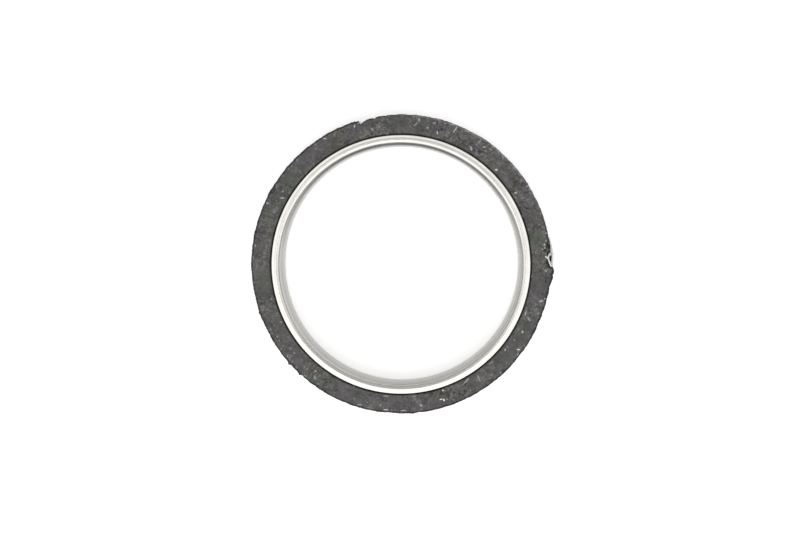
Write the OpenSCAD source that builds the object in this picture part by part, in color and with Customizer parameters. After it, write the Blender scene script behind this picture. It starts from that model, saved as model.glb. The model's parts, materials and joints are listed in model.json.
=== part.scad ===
// Exhaust gasket: a ring pressed from graphite and fine steel wire, carried on a flanged steel sleeve.
// It lies flat. The lower face is on Z = 0 and the bore runs along Z. Angles turn from +X towards +Y.

/* [Ring] */
// Diameter over the graphite
outer_d = 47; // [39:0.5:57]
// Width of the graphite's face, from the groove to the outside
face_w = 3; // [2.4:0.1:5]
// Thickness of the gasket, over both flanges
ring_h = 5; // [4:0.1:12]
// Rounding of the graphite's outer edges
edge_r = 0.3; // [0.1:0.05:0.8]

/* [Sleeve] */
// Thickness of the sleeve's sheet
sheet_t = 0.3; // [0.15:0.05:0.5]
// Outer radius of the bend from the wall into a flange
bend_r = 0.95; // [0.7:0.05:1.2]
// Width of a flange, from the bore to its rim
flange_w = 1.3; // [1.25:0.05:1.6]

/* [Fits] */
// Radial clearance between the sleeve's wall and the graphite
sleeve_gap = 0.05; // [0.02:0.01:0.15]
// Width of the open groove between a flange's rim and the graphite
rim_gap = 0.2; // [0.1:0.05:0.3]
// Depth of that groove under the face
groove_depth = 0.5; // [0.35:0.05:0.8]
// Clearance round each wire where it lies in the graphite
wire_gap = 0.03; // [0.01:0.01:0.06]

/* [Wire] */
// Diameter of the wire pressed in with the graphite
wire_d = 0.26; // [0.16:0.02:0.34]
// Depth of a surfacing wire's centre line under the face, at its crown
wire_sink = 0.05; // [0.02:0.01:0.07]
// Radius that a surfacing wire is bent to
crown_r = 0.6; // [0.4:0.05:1]
// Length of the longest straight wire in the face
streak_run = 1.3; // [0.8:0.1:2]

/* [Broken rim] */
// Angle of the scoop broken out of the rim
chip_at = 1.9; // [-10:0.1:20]
// Radius of the scoop
chip_r = 1.15; // [0.9:0.05:1.4]
// How far the scoop bites into the rim
chip_bite = 0.62; // [0.5:0.02:0.8]
// Depth of the scoop under the upper face
chip_depth = 1.3; // [1:0.1:2]
// Distance back along the rim from the scoop to the lump beside it
lump_back = 2.3; // [2.1:0.1:6]
// Radius of the lump
lump_r = 2.3; // [1.5:0.1:3]
// How far the lump stands out of the rim
lump_out = 0.45; // [0.2:0.05:0.6]
// Height of the lump
lump_h = 2.6; // [1.5:0.1:3.2]
// How far the lump's top lies under the upper face
lump_drop = 0.2; // [0.1:0.05:0.5]
// Rounding of the lump's edges
lump_edge_r = 0.4; // [0.1:0.05:0.6]
// How far the largest burr stands out of the rim
burr_out = 0.24; // [0.1:0.02:0.4]
// How far the lump is rooted inside the rim
lump_root = 0.6; // [0.4:0.1:1]
// Angle of the notch in the rim
notch_at = 105.8; // [60:0.1:150]
// How far the notch bites into the rim
notch_bite = 0.45; // [0.2:0.05:0.8]
// Depth of the notch under the upper face
notch_depth = 1.8; // [0.5:0.1:3]

/* [Sprung loop] */
// How far the loop's centre line lies under the upper face
loop_drop = 0.4; // [0.2:0.05:0.7]
// How far the loop's outer leg lies outside the rim
loop_out = 0.24; // [0.22:0.01:0.4]
// Radius of the loop's turn
loop_turn_r = 0.27; // [0.2:0.01:0.3]
// Distance back along the rim from the scoop to the loop's turn
turn_back = 0.82; // [0.6:0.02:0.9]
// Distance along the rim from the scoop to the end of the outer leg
leg_ahead = 2.75; // [1.2:0.05:5]
// Distance along the rim from the scoop to the hook that holds the inner leg in the graphite
hook_ahead = 0.29; // [0.1:0.01:0.5]
// Radius of that hook
hook_r = 0.28; // [0.2:0.02:0.34]
// Length of wire that runs into the graphite from the hook
hook_run = 0.4; // [0.3:0.05:0.6]

/* [Hidden] */

$fn = 180;
wire_fn = 24;
outer_r = outer_d / 2;
face_in_r = outer_r - face_w;
flange_r = face_in_r - rim_gap;
bore_r = flange_r - flange_w;
seat_r = bore_r + sheet_t + sleeve_gap;
seat_corner_r = bend_r - sheet_t;
face_out_r = outer_r - edge_r;
wire_r = wire_d / 2;
loop_z = ring_h - loop_drop;
outer_leg_r = outer_r + loop_out;
inner_leg_r = outer_leg_r - 2 * loop_turn_r;
inner_leg_run = turn_back + hook_ahead;
cut_over = 1;

// Angle of a place on the rim, from its distance along the rim from the scoop
function along(run) = chip_at + run / outer_r * 180 / PI;

lump_angle = along(-lump_back);
turn_angle = along(-turn_back);
leg_angle = along(leg_ahead);

// Wires that reach the upper face: angle, place across the face from its inner edge (0) to its outer
// edge (1), turn from the radius, and the arc of the wire that comes up
CROWNS = [
    [286.0, 0.52, 70, 95],
    [287.2, 0.40, 20, 70],
    [288.2, 0.10, 35, 60],
    [277.5, 0.52, 50, 50],
    [324.2, 0.84, 80, 70],
    [337.2, 0.34, 60, 50],
    [344.6, 0.72, 100, 60],
    [75.2, 0.34, 10, 60],
    [79.6, 0.48, 75, 50],
    [44.8, 0.20, 105, 70],
    [31.8, 0.24, 60, 50],
    [108.8, 0.88, 15, 60],
    [54.8, 0.58, 40, 50],
];
// Straight wires that lie in the upper face: angle, place across the face, turn from the radius, and
// length as a share of the longest
STREAKS = [
    [68.9, 0.66, -8, 1],
    [299.4, 0.62, 22, 10 / 13],
];
// Burrs on the rim: angle, and how far each stands out as a share of the largest
BURRS = [
    [198.5, 7 / 12],
    [221.0, 1],
    [226.5, 3 / 4],
];
// Size of a burr, and the depth of its upper end under the face
burr_r = 0.5;
burr_h = 1.6;
burr_drop = 0.4;

module at_angle(angle) {
    rotate([0, 0, angle]) children();
}

// One flange with the bend that carries it, lying on the lower face
module flange_section() {
    translate([bore_r + bend_r, bend_r])
        intersection() {
            difference() {
                circle(r = bend_r);
                circle(r = bend_r - sheet_t);
            }
            translate([-bend_r, -bend_r]) square(bend_r);
        }
    translate([bore_r + bend_r, 0]) square([flange_w - bend_r, sheet_t]);
}

module sleeve() {
    color([0.78, 0.78, 0.76])
        rotate_extrude() {
            translate([bore_r, bend_r]) square([sheet_t, ring_h - 2 * bend_r]);
            flange_section();
            translate([0, ring_h]) mirror([0, 1]) flange_section();
        }
}

// Rebate in the graphite for a flange, its bend and the groove round its rim, at the lower face
module rebate_section() {
    square([flange_r + rim_gap, sheet_t]);
    difference() {
        square([seat_r + seat_corner_r, sheet_t + seat_corner_r]);
        translate([seat_r + seat_corner_r, sheet_t + seat_corner_r]) circle(r = seat_corner_r);
    }
    translate([flange_r, 0]) square([rim_gap, groove_depth]);
}

module ring_section() {
    difference() {
        union() {
            translate([seat_r, 0]) square([face_out_r - seat_r, ring_h]);
            translate([seat_r, edge_r]) square([outer_r - seat_r, ring_h - 2 * edge_r]);
            translate([face_out_r, edge_r]) circle(r = edge_r);
            translate([face_out_r, ring_h - edge_r]) circle(r = edge_r);
        }
        rebate_section();
        translate([0, ring_h]) mirror([0, 1]) rebate_section();
    }
}

// Lump of graphite squeezed out of the rim: the edge of a flat disc with rounded edges
module lump() {
    difference() {
        at_angle(lump_angle)
            translate([outer_r + lump_out - lump_r, 0, ring_h - lump_drop - lump_h])
                rotate_extrude() {
                    square([lump_r - lump_edge_r, lump_h]);
                    translate([0, lump_edge_r]) square([lump_r, lump_h - 2 * lump_edge_r]);
                    for (z = [lump_edge_r, lump_h - lump_edge_r])
                        translate([lump_r - lump_edge_r, z]) circle(r = lump_edge_r);
                }
        cylinder(r = outer_r - lump_root, h = ring_h);
    }
}

module burrs() {
    for (b = BURRS)
        at_angle(b[0])
            translate([outer_r + b[1] * burr_out - burr_r, 0, ring_h - burr_drop - burr_h])
                cylinder(r = burr_r, h = burr_h, $fn = 3);
}

// Scoop broken out of the rim and the upper face
module chip() {
    at_angle(chip_at)
        translate([outer_r + chip_r - chip_bite, 0, ring_h - chip_depth])
            cylinder(r = chip_r, h = chip_depth + cut_over);
}

module notch() {
    at_angle(notch_at)
        translate([outer_r, 0, ring_h - notch_depth])
            cylinder(r = notch_bite, h = notch_depth + cut_over, $fn = 4);
}

// A wire bent over in an upright arc that just reaches the upper face, with a clearance all round
module crown(arc, gap) {
    translate([0, 0, ring_h - wire_sink - crown_r])
        rotate([90, 0, 0])
            rotate([0, 0, 90 - arc / 2])
                rotate_extrude(angle = arc) translate([crown_r, 0]) circle(r = wire_r + gap, $fn = wire_fn);
}

// A straight wire that lies in the upper face, with a clearance all round
module streak(run, gap) {
    translate([-run / 2 - gap, 0, ring_h - wire_sink])
        rotate([0, 90, 0]) cylinder(r = wire_r + gap, h = run + 2 * gap, $fn = wire_fn);
}

module on_face(angle, across, turn) {
    at_angle(angle)
        translate([face_in_r + across * (face_out_r - face_in_r), 0, 0]) at_angle(turn) children();
}

// Every wire that reaches the upper face, or the seats for them where gap is above 0
module face_wires(gap) {
    for (c = CROWNS) on_face(c[0], c[1], c[2]) crown(c[3], gap);
    for (s = STREAKS) on_face(s[0], s[1], s[2]) streak(s[3] * streak_run, gap);
}

// Part of a turn of wire, flat in the loop's plane
module wire_turn(turn_r, angle, gap) {
    rotate_extrude(angle = angle) translate([turn_r, 0]) circle(r = wire_r + gap, $fn = wire_fn);
}

// The loop: an outer leg beside the rim, a turn back, a straight inner leg and a hook into the graphite.
// With a gap above 0 it is the seat for the loop.
module loop(gap) {
    at_angle(turn_angle) translate([0, 0, loop_z]) {
        wire_turn(outer_leg_r, leg_angle - turn_angle, gap);
        translate([outer_leg_r - loop_turn_r, 0, 0]) at_angle(180) wire_turn(loop_turn_r, 180, gap);
        translate([inner_leg_r, 0, 0])
            rotate([-90, 0, 0]) cylinder(r = wire_r + gap, h = inner_leg_run, $fn = wire_fn);
        translate([inner_leg_r - hook_r, inner_leg_run, 0]) {
            wire_turn(hook_r, 90, gap);
            translate([0, hook_r, 0])
                rotate([0, -90, 0]) cylinder(r = wire_r + gap, h = hook_run + gap, $fn = wire_fn);
        }
    }
}

// Opens the loop's turn to the upper face
module turn_pocket() {
    at_angle(turn_angle)
        translate([outer_leg_r - loop_turn_r, 0, loop_z - wire_r - 2 * wire_gap])
            cylinder(r = loop_turn_r + wire_r + 2 * wire_gap, h = ring_h);
}

module sprung_wire() {
    color([0.82, 0.82, 0.80]) loop(0);
}

module surface_wires() {
    color([0.82, 0.82, 0.80])
        intersection() {
            face_wires(0);
            cylinder(r = outer_r, h = ring_h);
        }
}

module graphite_ring() {
    color([0.33, 0.33, 0.34])
        difference() {
            union() {
                rotate_extrude() ring_section();
                lump();
                burrs();
            }
            chip();
            notch();
            face_wires(wire_gap);
            loop(wire_gap);
            turn_pocket();
        }
}

sleeve();
graphite_ring();
sprung_wire();
surface_wires();
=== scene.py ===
"""Looks of the exhaust gasket: a pressed graphite ring on a flanged stainless sleeve, seen from above.

Every length is in metres unless its name ends in _mm, and every angle is in degrees from +X towards +Y.
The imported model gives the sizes, and the pieces made here pass its box by less than 0.2 mm.
"""

import json
import logging
import math
from collections.abc import Callable, Sequence
from dataclasses import dataclass
from enum import Enum
from itertools import pairwise

import bmesh
import bpy
from mathutils import Matrix, Vector

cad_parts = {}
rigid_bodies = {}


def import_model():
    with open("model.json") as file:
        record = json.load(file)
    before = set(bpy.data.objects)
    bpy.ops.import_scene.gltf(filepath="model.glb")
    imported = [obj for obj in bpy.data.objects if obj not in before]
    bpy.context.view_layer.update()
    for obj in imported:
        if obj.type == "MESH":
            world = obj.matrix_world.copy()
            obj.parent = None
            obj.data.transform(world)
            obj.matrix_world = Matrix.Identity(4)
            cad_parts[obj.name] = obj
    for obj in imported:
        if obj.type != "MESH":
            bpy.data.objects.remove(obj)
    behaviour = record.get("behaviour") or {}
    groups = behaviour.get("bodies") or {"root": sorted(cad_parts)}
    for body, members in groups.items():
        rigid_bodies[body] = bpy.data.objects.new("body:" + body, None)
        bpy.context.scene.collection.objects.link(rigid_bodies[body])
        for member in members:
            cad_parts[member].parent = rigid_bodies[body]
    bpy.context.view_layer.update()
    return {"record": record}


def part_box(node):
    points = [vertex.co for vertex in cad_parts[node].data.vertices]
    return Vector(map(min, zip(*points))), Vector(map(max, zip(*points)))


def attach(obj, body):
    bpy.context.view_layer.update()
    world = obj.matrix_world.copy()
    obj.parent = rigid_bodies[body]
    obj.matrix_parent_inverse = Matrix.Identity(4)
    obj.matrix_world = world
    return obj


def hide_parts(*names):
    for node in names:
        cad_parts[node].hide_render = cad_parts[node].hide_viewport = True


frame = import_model()

LOG = logging.getLogger("gasket")
MM = 0.001
IMAGE_SIZE = (800, 533)
GLEAM = "gleam"
RIM_SHARE = "rim_share"
WHITE = (1, 1, 1, 1)
TINY = 1e-9

Piece = bpy.types.Object
Node = bpy.types.Node
Tree = bpy.types.NodeTree
Output = bpy.types.NodeSocket
Value = Output | Sequence[float] | float
Colour = tuple[float, float, float, float]

# Where a Mix node set to colours keeps its factor, its two colours and its result
COLOUR_MIX_INPUTS = (0, 6, 7)
COLOUR_MIX_OUTPUT = 2


class Falloff(Enum):
    """How a proportional edit fades with distance."""

    SMOOTH = "SMOOTH"
    SHARP = "SHARP"
    SPHERE = "SPHERE"


def polar(radius: float, angle: float, height: float = 0.0) -> Vector:
    """Gives the point at a radius, an angle in degrees and a height.

    Args:
        radius: distance from the bore's axis.
        angle: degrees from +X towards +Y.
        height: place along Z.

    Returns:
        The point as a vector.
    """
    turn = math.radians(angle)
    return Vector((radius * math.cos(turn), radius * math.sin(turn), height))


@dataclass(frozen=True)
class Station:
    """One ring of points in a turned section."""

    radius: float
    height: float


def arc(centre: Station, radius: float, start: float, end: float, steps: int) -> list[Station]:
    """Lists the stations along an arc of the section, both ends included.

    Args:
        centre: the arc's centre.
        radius: the arc's radius.
        start: first angle in the section's plane, in degrees, 0 being away from the axis.
        end: last angle.
        steps: how many straight steps make the arc.

    Returns:
        steps + 1 stations.
    """
    turns = [math.radians(start + (end - start) * i / steps) for i in range(steps + 1)]
    places = [(radius * math.cos(turn), radius * math.sin(turn)) for turn in turns]
    return [Station(centre.radius + out, centre.height + up) for out, up in places]


def line(start: Station, end: Station, steps: int) -> list[Station]:
    """Lists the stations strictly between two others, evenly spaced.

    Args:
        start: the station before the first.
        end: the station after the last.
        steps: how many steps the line is cut into.

    Returns:
        steps - 1 stations.
    """
    def between(share: float) -> Station:
        return Station(
            start.radius + (end.radius - start.radius) * share,
            start.height + (end.height - start.height) * share,
        )

    return [between(i / steps) for i in range(1, steps)]


def share_of(length: float, span: float) -> float:
    """Gives how far a length goes over a span, kept between 0 and 1."""
    return min(1.0, max(0.0, length / span))


@dataclass(frozen=True)
class GasketSizes:
    """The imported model's own sizes, read from its boxes and mounts."""

    bore_r: float
    flange_r: float
    outer_r: float
    low: float
    high: float
    sheet_t: float = 0.3 * MM
    bend_r: float = 0.95 * MM
    groove_w: float = 0.2 * MM
    groove_d: float = 0.5 * MM

    @classmethod
    def from_frame(cls) -> "GasketSizes":
        """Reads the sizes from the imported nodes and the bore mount.

        Returns:
            The sizes.
        """
        bore = next(m for m in frame["record"]["mounts"] if m["name"] == "bore")
        sleeve_low, sleeve_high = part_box("sleeve")
        return cls(
            bore_r=bore["dims"]["r_mm"] * MM,
            flange_r=sleeve_high.y,
            outer_r=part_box("graphite_ring")[1].y,
            low=sleeve_low.z,
            high=sleeve_high.z,
        )


class Workshop:
    """The modelling operators as a person would use them, with nothing else selected."""

    @staticmethod
    def clear_selection() -> None:
        """Deselects every object and leaves edit mode."""
        if bpy.context.object and bpy.context.object.mode != "OBJECT":
            bpy.ops.object.mode_set(mode="OBJECT")
        bpy.ops.object.select_all(action="DESELECT")

    @staticmethod
    def take_up(piece: Piece) -> None:
        """Makes a piece the only selected and active object."""
        Workshop.clear_selection()
        piece.select_set(True)
        bpy.context.view_layer.objects.active = piece

    @staticmethod
    def turn_ring(name: str, stations: list[Station], segments: int) -> Piece:
        """Extrudes a circle from station to station until the section closes on itself.

        Args:
            name: the new piece's name.
            stations: the closed section, in order.
            segments: how many straight steps go round the ring.

        Returns:
            The closed ring.
        """
        Workshop.clear_selection()
        first = stations[0]
        bpy.ops.mesh.primitive_circle_add(
            vertices=segments, radius=first.radius, location=(0, 0, first.height)
        )
        piece = bpy.context.active_object
        piece.name = name
        piece.data.name = name
        bpy.ops.object.transform_apply(location=True, rotation=True, scale=True)
        bpy.ops.object.mode_set(mode="EDIT")
        bpy.ops.mesh.select_all(action="SELECT")
        for here, there in pairwise([*stations, first]):
            rise = (0, 0, there.height - here.height)
            grow = there.radius / here.radius
            bpy.ops.mesh.extrude_edges_move(TRANSFORM_OT_translate={"value": rise})
            bpy.ops.transform.resize(value=(grow, grow, 1), center_override=(0, 0, there.height))
        bpy.ops.mesh.select_all(action="SELECT")
        bpy.ops.mesh.remove_doubles(threshold=0.002 * MM)
        bpy.ops.mesh.normals_make_consistent(inside=False)
        bpy.ops.object.mode_set(mode="OBJECT")
        return piece

    @staticmethod
    def select_where(piece: Piece, test: Callable[[Vector], bool]) -> None:
        """Selects the vertices of the piece in edit mode that pass a test on their place.

        Args:
            piece: the object in edit mode.
            test: a function of a vertex's place that gives True to select it.
        """
        mesh = bmesh.from_edit_mesh(piece.data)
        for vert in mesh.verts:
            vert.select_set(not vert.hide and test(vert.co))
        mesh.select_flush_mode()
        bmesh.update_edit_mesh(piece.data)

    @staticmethod
    def pull(piece: Piece, at: Vector, by: Vector, reach: float, falloff: Falloff) -> None:
        """Pulls the surface nearest a point, and fades the pull out over a reach.

        Args:
            piece: the object in edit mode.
            at: where the pull takes hold.
            by: how far the surface moves there.
            reach: the radius of the proportional edit.
            falloff: how the pull fades.
        """
        mesh = bmesh.from_edit_mesh(piece.data)
        shown = [vert for vert in mesh.verts if not vert.hide]
        nearest = min(shown, key=lambda vert: (vert.co - at).length_squared)
        bpy.ops.mesh.select_all(action="DESELECT")
        nearest.select_set(True)
        mesh.select_flush_mode()
        bmesh.update_edit_mesh(piece.data)
        bpy.ops.transform.translate(
            value=by,
            use_proportional_edit=True,
            proportional_edit_falloff=falloff.value,
            proportional_size=reach,
        )

    @staticmethod
    def chain(places: list[Vector]) -> Piece:
        """Extrudes one vertex from place to place.

        Args:
            places: where the line goes.

        Returns:
            The line, in edit mode with its last vertex selected.
        """
        Workshop.clear_selection()
        bpy.ops.mesh.primitive_circle_add(vertices=3, radius=0.01 * MM, location=places[0])
        piece = bpy.context.active_object
        bpy.ops.object.transform_apply(location=True, rotation=True, scale=True)
        bpy.ops.object.mode_set(mode="EDIT")
        bpy.ops.mesh.select_all(action="SELECT")
        bpy.ops.mesh.merge(type="CENTER")
        for here, there in pairwise(places):
            bpy.ops.mesh.extrude_region_move(TRANSFORM_OT_translate={"value": there - here})
        return piece

    @staticmethod
    def prism(points: Sequence[tuple[float, float]], low: float, high: float) -> Piece:
        """Raises a closed outline into a prism.

        Args:
            points: the outline in mm.
            low: the height of its lower end.
            high: the height of its upper end.

        Returns:
            The prism.
        """
        piece = Workshop.chain([Vector((x * MM, y * MM, low)) for x, y in points])
        bpy.ops.mesh.select_all(action="SELECT")
        bpy.ops.mesh.edge_face_add()
        bpy.ops.mesh.extrude_region_move(TRANSFORM_OT_translate={"value": (0, 0, high - low)})
        bpy.ops.mesh.select_all(action="SELECT")
        bpy.ops.mesh.normals_make_consistent(inside=False)
        bpy.ops.object.mode_set(mode="OBJECT")
        return piece

    @staticmethod
    def cut(piece: Piece, cutter: Piece) -> None:
        """Cuts one piece by another, which is used up.

        Args:
            piece: the object to cut.
            cutter: what is taken out of it.
        """
        Workshop.take_up(piece)
        modifier = piece.modifiers.new("cut", "BOOLEAN")
        modifier.operation = "DIFFERENCE"
        modifier.solver = "EXACT"
        modifier.object = cutter
        bpy.ops.object.modifier_apply(modifier=modifier.name)
        Workshop.take_up(cutter)
        bpy.ops.object.delete()

    @staticmethod
    def displace(
        piece: Piece, scale: float, strength: float, group: str = "", middle: float = 0.5
    ) -> None:
        """Roughens a piece with a Displace modifier and applies it.

        Args:
            piece: the object to roughen.
            scale: the size of the clouds that move it.
            strength: how far the surface moves from the texture's darkest to its lightest.
            group: the vertex group that limits it, or nothing for all.
            middle: the texture's level that moves nothing.
        """
        texture = bpy.data.textures.new(f"{piece.name}_clouds", "CLOUDS")
        texture.noise_scale = scale
        texture.noise_depth = 3
        Workshop.take_up(piece)
        modifier = piece.modifiers.new("grain", "DISPLACE")
        modifier.texture = texture
        modifier.texture_coords = "LOCAL"
        modifier.strength = strength
        modifier.mid_level = middle
        modifier.vertex_group = group
        bpy.ops.object.modifier_apply(modifier=modifier.name)
        bpy.data.textures.remove(texture)

    @staticmethod
    def paint(piece: Piece, name: str, level: Callable[[Vector], float]) -> None:
        """Paints an attribute that a material reads.

        Args:
            piece: the mesh object.
            name: the attribute's name.
            level: gives the value at a place.
        """
        painted = piece.data.color_attributes.new(name=name, type="FLOAT_COLOR", domain="POINT")
        for point, vertex in zip(painted.data, piece.data.vertices):
            value = level(vertex.co)
            point.color = (value, value, value, 1.0)

    @staticmethod
    def weigh(piece: Piece, group: str, weight: Callable[[Vector], float]) -> None:
        """Paints a vertex group by a function of place.

        Args:
            piece: the object in object mode.
            group: the group's name.
            weight: a function of a vertex's place that gives its weight.
        """
        painted = piece.vertex_groups.new(name=group)
        for vert in piece.data.vertices:
            painted.add([vert.index], weight(vert.co), "REPLACE")

    @staticmethod
    def join(pieces: list[Piece], name: str) -> Piece:
        """Joins pieces into the first of them.

        Args:
            pieces: the mesh objects.
            name: the joined piece's name.

        Returns:
            The joined piece.
        """
        Workshop.clear_selection()
        for piece in pieces:
            piece.select_set(True)
        bpy.context.view_layer.objects.active = pieces[0]
        bpy.ops.object.join()
        pieces[0].name = name
        return pieces[0]


class NodeSheet:
    """A node tree that is filled in from left to right."""

    def __init__(self, tree: Tree) -> None:
        """Starts from an empty tree."""
        self.tree = tree
        tree.nodes.clear()

    def add(self, kind: str, **values: Value | str | Tree) -> Node:
        """Adds a node, sets its properties and its inputs.

        Args:
            kind: the node's type name.
            values: properties by name, or inputs by name with a trailing underscore.

        Returns:
            The new node.
        """
        node = self.tree.nodes.new(kind)
        for name, value in values.items():
            if name.endswith("_"):
                self.feed(value, node.inputs[name[:-1].replace("_", " ")])
            else:
                setattr(node, name, value)
        return node

    def feed(self, value: Value, socket: Output) -> None:
        """Links an output to a socket, or sets the socket's own value.

        Args:
            value: an output, a number or a vector.
            socket: the input that takes it.
        """
        if isinstance(value, Output):
            self.tree.links.new(value, socket)
        else:
            socket.default_value = value

    def maths(self, operation: str, first: Value, second: Value = 0.0) -> Output:
        """Adds a Math node and gives its output.

        Args:
            operation: the node's operation.
            first: an output or a number.
            second: an output or a number.

        Returns:
            The result.
        """
        node = self.add("ShaderNodeMath", operation=operation)
        self.feed(first, node.inputs[0])
        self.feed(second, node.inputs[1])
        return node.outputs[0]

    def times(self, first: Value, second: Value) -> Output:
        """Multiplies two values."""
        return self.maths("MULTIPLY", first, second)

    def plus(self, first: Value, second: Value) -> Output:
        """Adds two values."""
        return self.maths("ADD", first, second)

    def minus(self, first: Value, second: Value) -> Output:
        """Takes the second value from the first."""
        return self.maths("SUBTRACT", first, second)

    def vector(self, operation: str, first: Value, second: Value = (0.0, 0.0, 0.0)) -> Node:
        """Adds a Vector Math node.

        Args:
            operation: the node's operation.
            first: an output or a vector.
            second: an output or a vector, for the operations that take two.

        Returns:
            The node.
        """
        node = self.add("ShaderNodeVectorMath", operation=operation)
        self.feed(first, node.inputs[0])
        self.feed(second, node.inputs[1])
        return node

    def blend(self, share: Value, first: Value, second: Value) -> Output:
        """Mixes two colours.

        Args:
            share: how much of the second colour shows, an output or a number.
            first: an output or a colour.
            second: an output or a colour.

        Returns:
            The mixed colour.
        """
        node = self.add("ShaderNodeMix", data_type="RGBA")
        for value, index in zip((share, first, second), COLOUR_MIX_INPUTS):
            self.feed(value, node.inputs[index])
        return node.outputs[COLOUR_MIX_OUTPUT]

    def spread(
        self, value: Output, low: Value, high: Value, to_low: float = 0.0, to_high: float = 1.0
    ) -> Output:
        """Stretches a range of a value to another, clamped.

        Args:
            value: an output.
            low: the value that becomes to_low.
            high: the value that becomes to_high.
            to_low: the result's start.
            to_high: the result's end.

        Returns:
            The stretched value.
        """
        limits = {"From_Min_": low, "From_Max_": high, "To_Min_": to_low, "To_Max_": to_high}
        return self.add("ShaderNodeMapRange", Value_=value, **limits).outputs[0]

    def scaled(self, vector: Value, scale: Value) -> Output:
        """Scales a vector by one number."""
        node = self.vector("SCALE", vector)
        self.feed(scale, node.inputs["Scale"])
        return node.outputs[0]

    def noise(self, vector: Value, scale: Value, detail: float = 4.0, roughness: float = 0.55) -> Output:
        """Adds a Noise Texture and gives its value."""
        grain = {"Scale_": scale, "Detail_": detail, "Roughness_": roughness}
        return self.add("ShaderNodeTexNoise", Vector_=vector, **grain).outputs["Fac"]

    def glow(self, strength: Value) -> Output:
        """Adds a white Emission shader."""
        return self.add("ShaderNodeEmission", Color_=WHITE, Strength_=strength).outputs[0]

    def send(self, shader: Output, kind: str = "ShaderNodeOutputMaterial") -> None:
        """Sends a shader to the tree's output node."""
        self.feed(shader, self.add(kind).inputs["Surface"])


class MaterialSheet(NodeSheet):
    """The sheet of a new material."""

    def __init__(self, name: str) -> None:
        """Makes the material with an empty tree.

        Args:
            name: the material's name.
        """
        self.material = bpy.data.materials.new(name)
        self.material.use_nodes = True
        super().__init__(self.material.node_tree)


class EffectLibrary:
    """Node groups for the effects that more than one finish uses. Each is built once."""

    def __init__(self) -> None:
        """Builds every group."""
        self.speckle = self._speckle()
        self.ring_place = self._ring_place()
        self.turned_marks = self._turned_marks()
        self.mottle = self._mottle()

    @staticmethod
    def _new(name: str, numbers: dict[str, float], results: tuple[str, ...]) -> tuple:
        """Makes an empty group that takes a vector and some numbers.

        Args:
            name: the group's name.
            numbers: the numbers that it takes, with their usual values.
            results: the names of what it gives.

        Returns:
            The group, its sheet, the sockets of what it takes and its output node.
        """
        group = bpy.data.node_groups.new(name, "ShaderNodeTree")
        group.interface.new_socket("Vector", in_out="INPUT", socket_type="NodeSocketVector")
        for label, value in numbers.items():
            socket = group.interface.new_socket(label, in_out="INPUT", socket_type="NodeSocketFloat")
            socket.default_value = value
        for label in results:
            group.interface.new_socket(label, in_out="OUTPUT", socket_type="NodeSocketFloat")
        sheet = NodeSheet(group)
        given = sheet.add("NodeGroupInput").outputs
        return group, sheet, [given[label] for label in ("Vector", *numbers)], sheet.add("NodeGroupOutput")

    def _speckle(self) -> Tree:
        """Builds the flakes: a few cells of a fine pattern, each a small irregular patch.

        Returns:
            The group.
        """
        usual = {"Scale": 2000.0, "Share": 0.1, "Size": 0.3}
        group, sheet, (vector, scale, share, size), result = self._new("flakes", usual, ("Mask", "Chance"))
        wobble = sheet.noise(vector, sheet.times(scale, 1.3), 2.0)
        cells = sheet.add("ShaderNodeTexVoronoi", Vector_=vector, Scale_=scale)
        colour = sheet.add("ShaderNodeSeparateColor", Color_=cells.outputs["Color"])
        chosen = sheet.maths("LESS_THAN", colour.outputs[0], share)
        reach = sheet.times(size, sheet.plus(colour.outputs[1], 0.4))
        bent = sheet.plus(cells.outputs["Distance"], sheet.times(wobble, 0.35))
        edge = sheet.minus(sheet.plus(reach, 0.175), bent)
        sheet.feed(sheet.times(sheet.spread(edge, 0.0, 0.06), chosen), result.inputs["Mask"])
        sheet.feed(colour.outputs[2], result.inputs["Chance"])
        return group

    def _ring_place(self) -> Tree:
        """Builds the distance from the bore's axis and the height of a place.

        Returns:
            The group.
        """
        group, sheet, (vector,), result = self._new("ring place", {}, ("Radius", "Height"))
        place = sheet.add("ShaderNodeSeparateXYZ", Vector_=vector)
        squares = [sheet.times(place.outputs[i], place.outputs[i]) for i in (0, 1)]
        sheet.feed(sheet.maths("SQRT", sheet.plus(*squares)), result.inputs["Radius"])
        sheet.feed(place.outputs[2], result.inputs["Height"])
        return group

    def _turned_marks(self) -> Tree:
        """Builds fine marks that run round the bore's axis, broken up slowly along their length.

        Returns:
            The group.
        """
        usual = {"Pitch": 12000.0, "Breakup": 300.0}
        group, sheet, (vector, pitch, breakup), result = self._new("turned marks", usual, ("Mark",))
        place = sheet.add("ShaderNodeGroup", node_tree=self.ring_place, Vector_=vector)
        drift = sheet.times(sheet.noise(vector, breakup, 2.0), 3.0)
        across, up = [sheet.times(place.outputs[name], pitch) for name in ("Radius", "Height")]
        lines = sheet.add("ShaderNodeCombineXYZ", X_=across, Y_=up, Z_=drift)
        sheet.feed(sheet.noise(lines.outputs[0], 1.0, 3.0, 0.6), result.inputs["Mark"])
        return group

    def _mottle(self) -> Tree:
        """Builds soft clouding between 0 and 1 with a set contrast.

        Returns:
            The group.
        """
        usual = {"Scale": 500.0, "Contrast": 0.25}
        group, sheet, (vector, scale, half), result = self._new("mottle", usual, ("Cloud",))
        cloud = sheet.noise(vector, scale, 5.0, 0.6)
        stretched = sheet.spread(cloud, sheet.minus(0.5, half), sheet.plus(0.5, half))
        sheet.feed(stretched, result.inputs["Cloud"])
        return group


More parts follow.
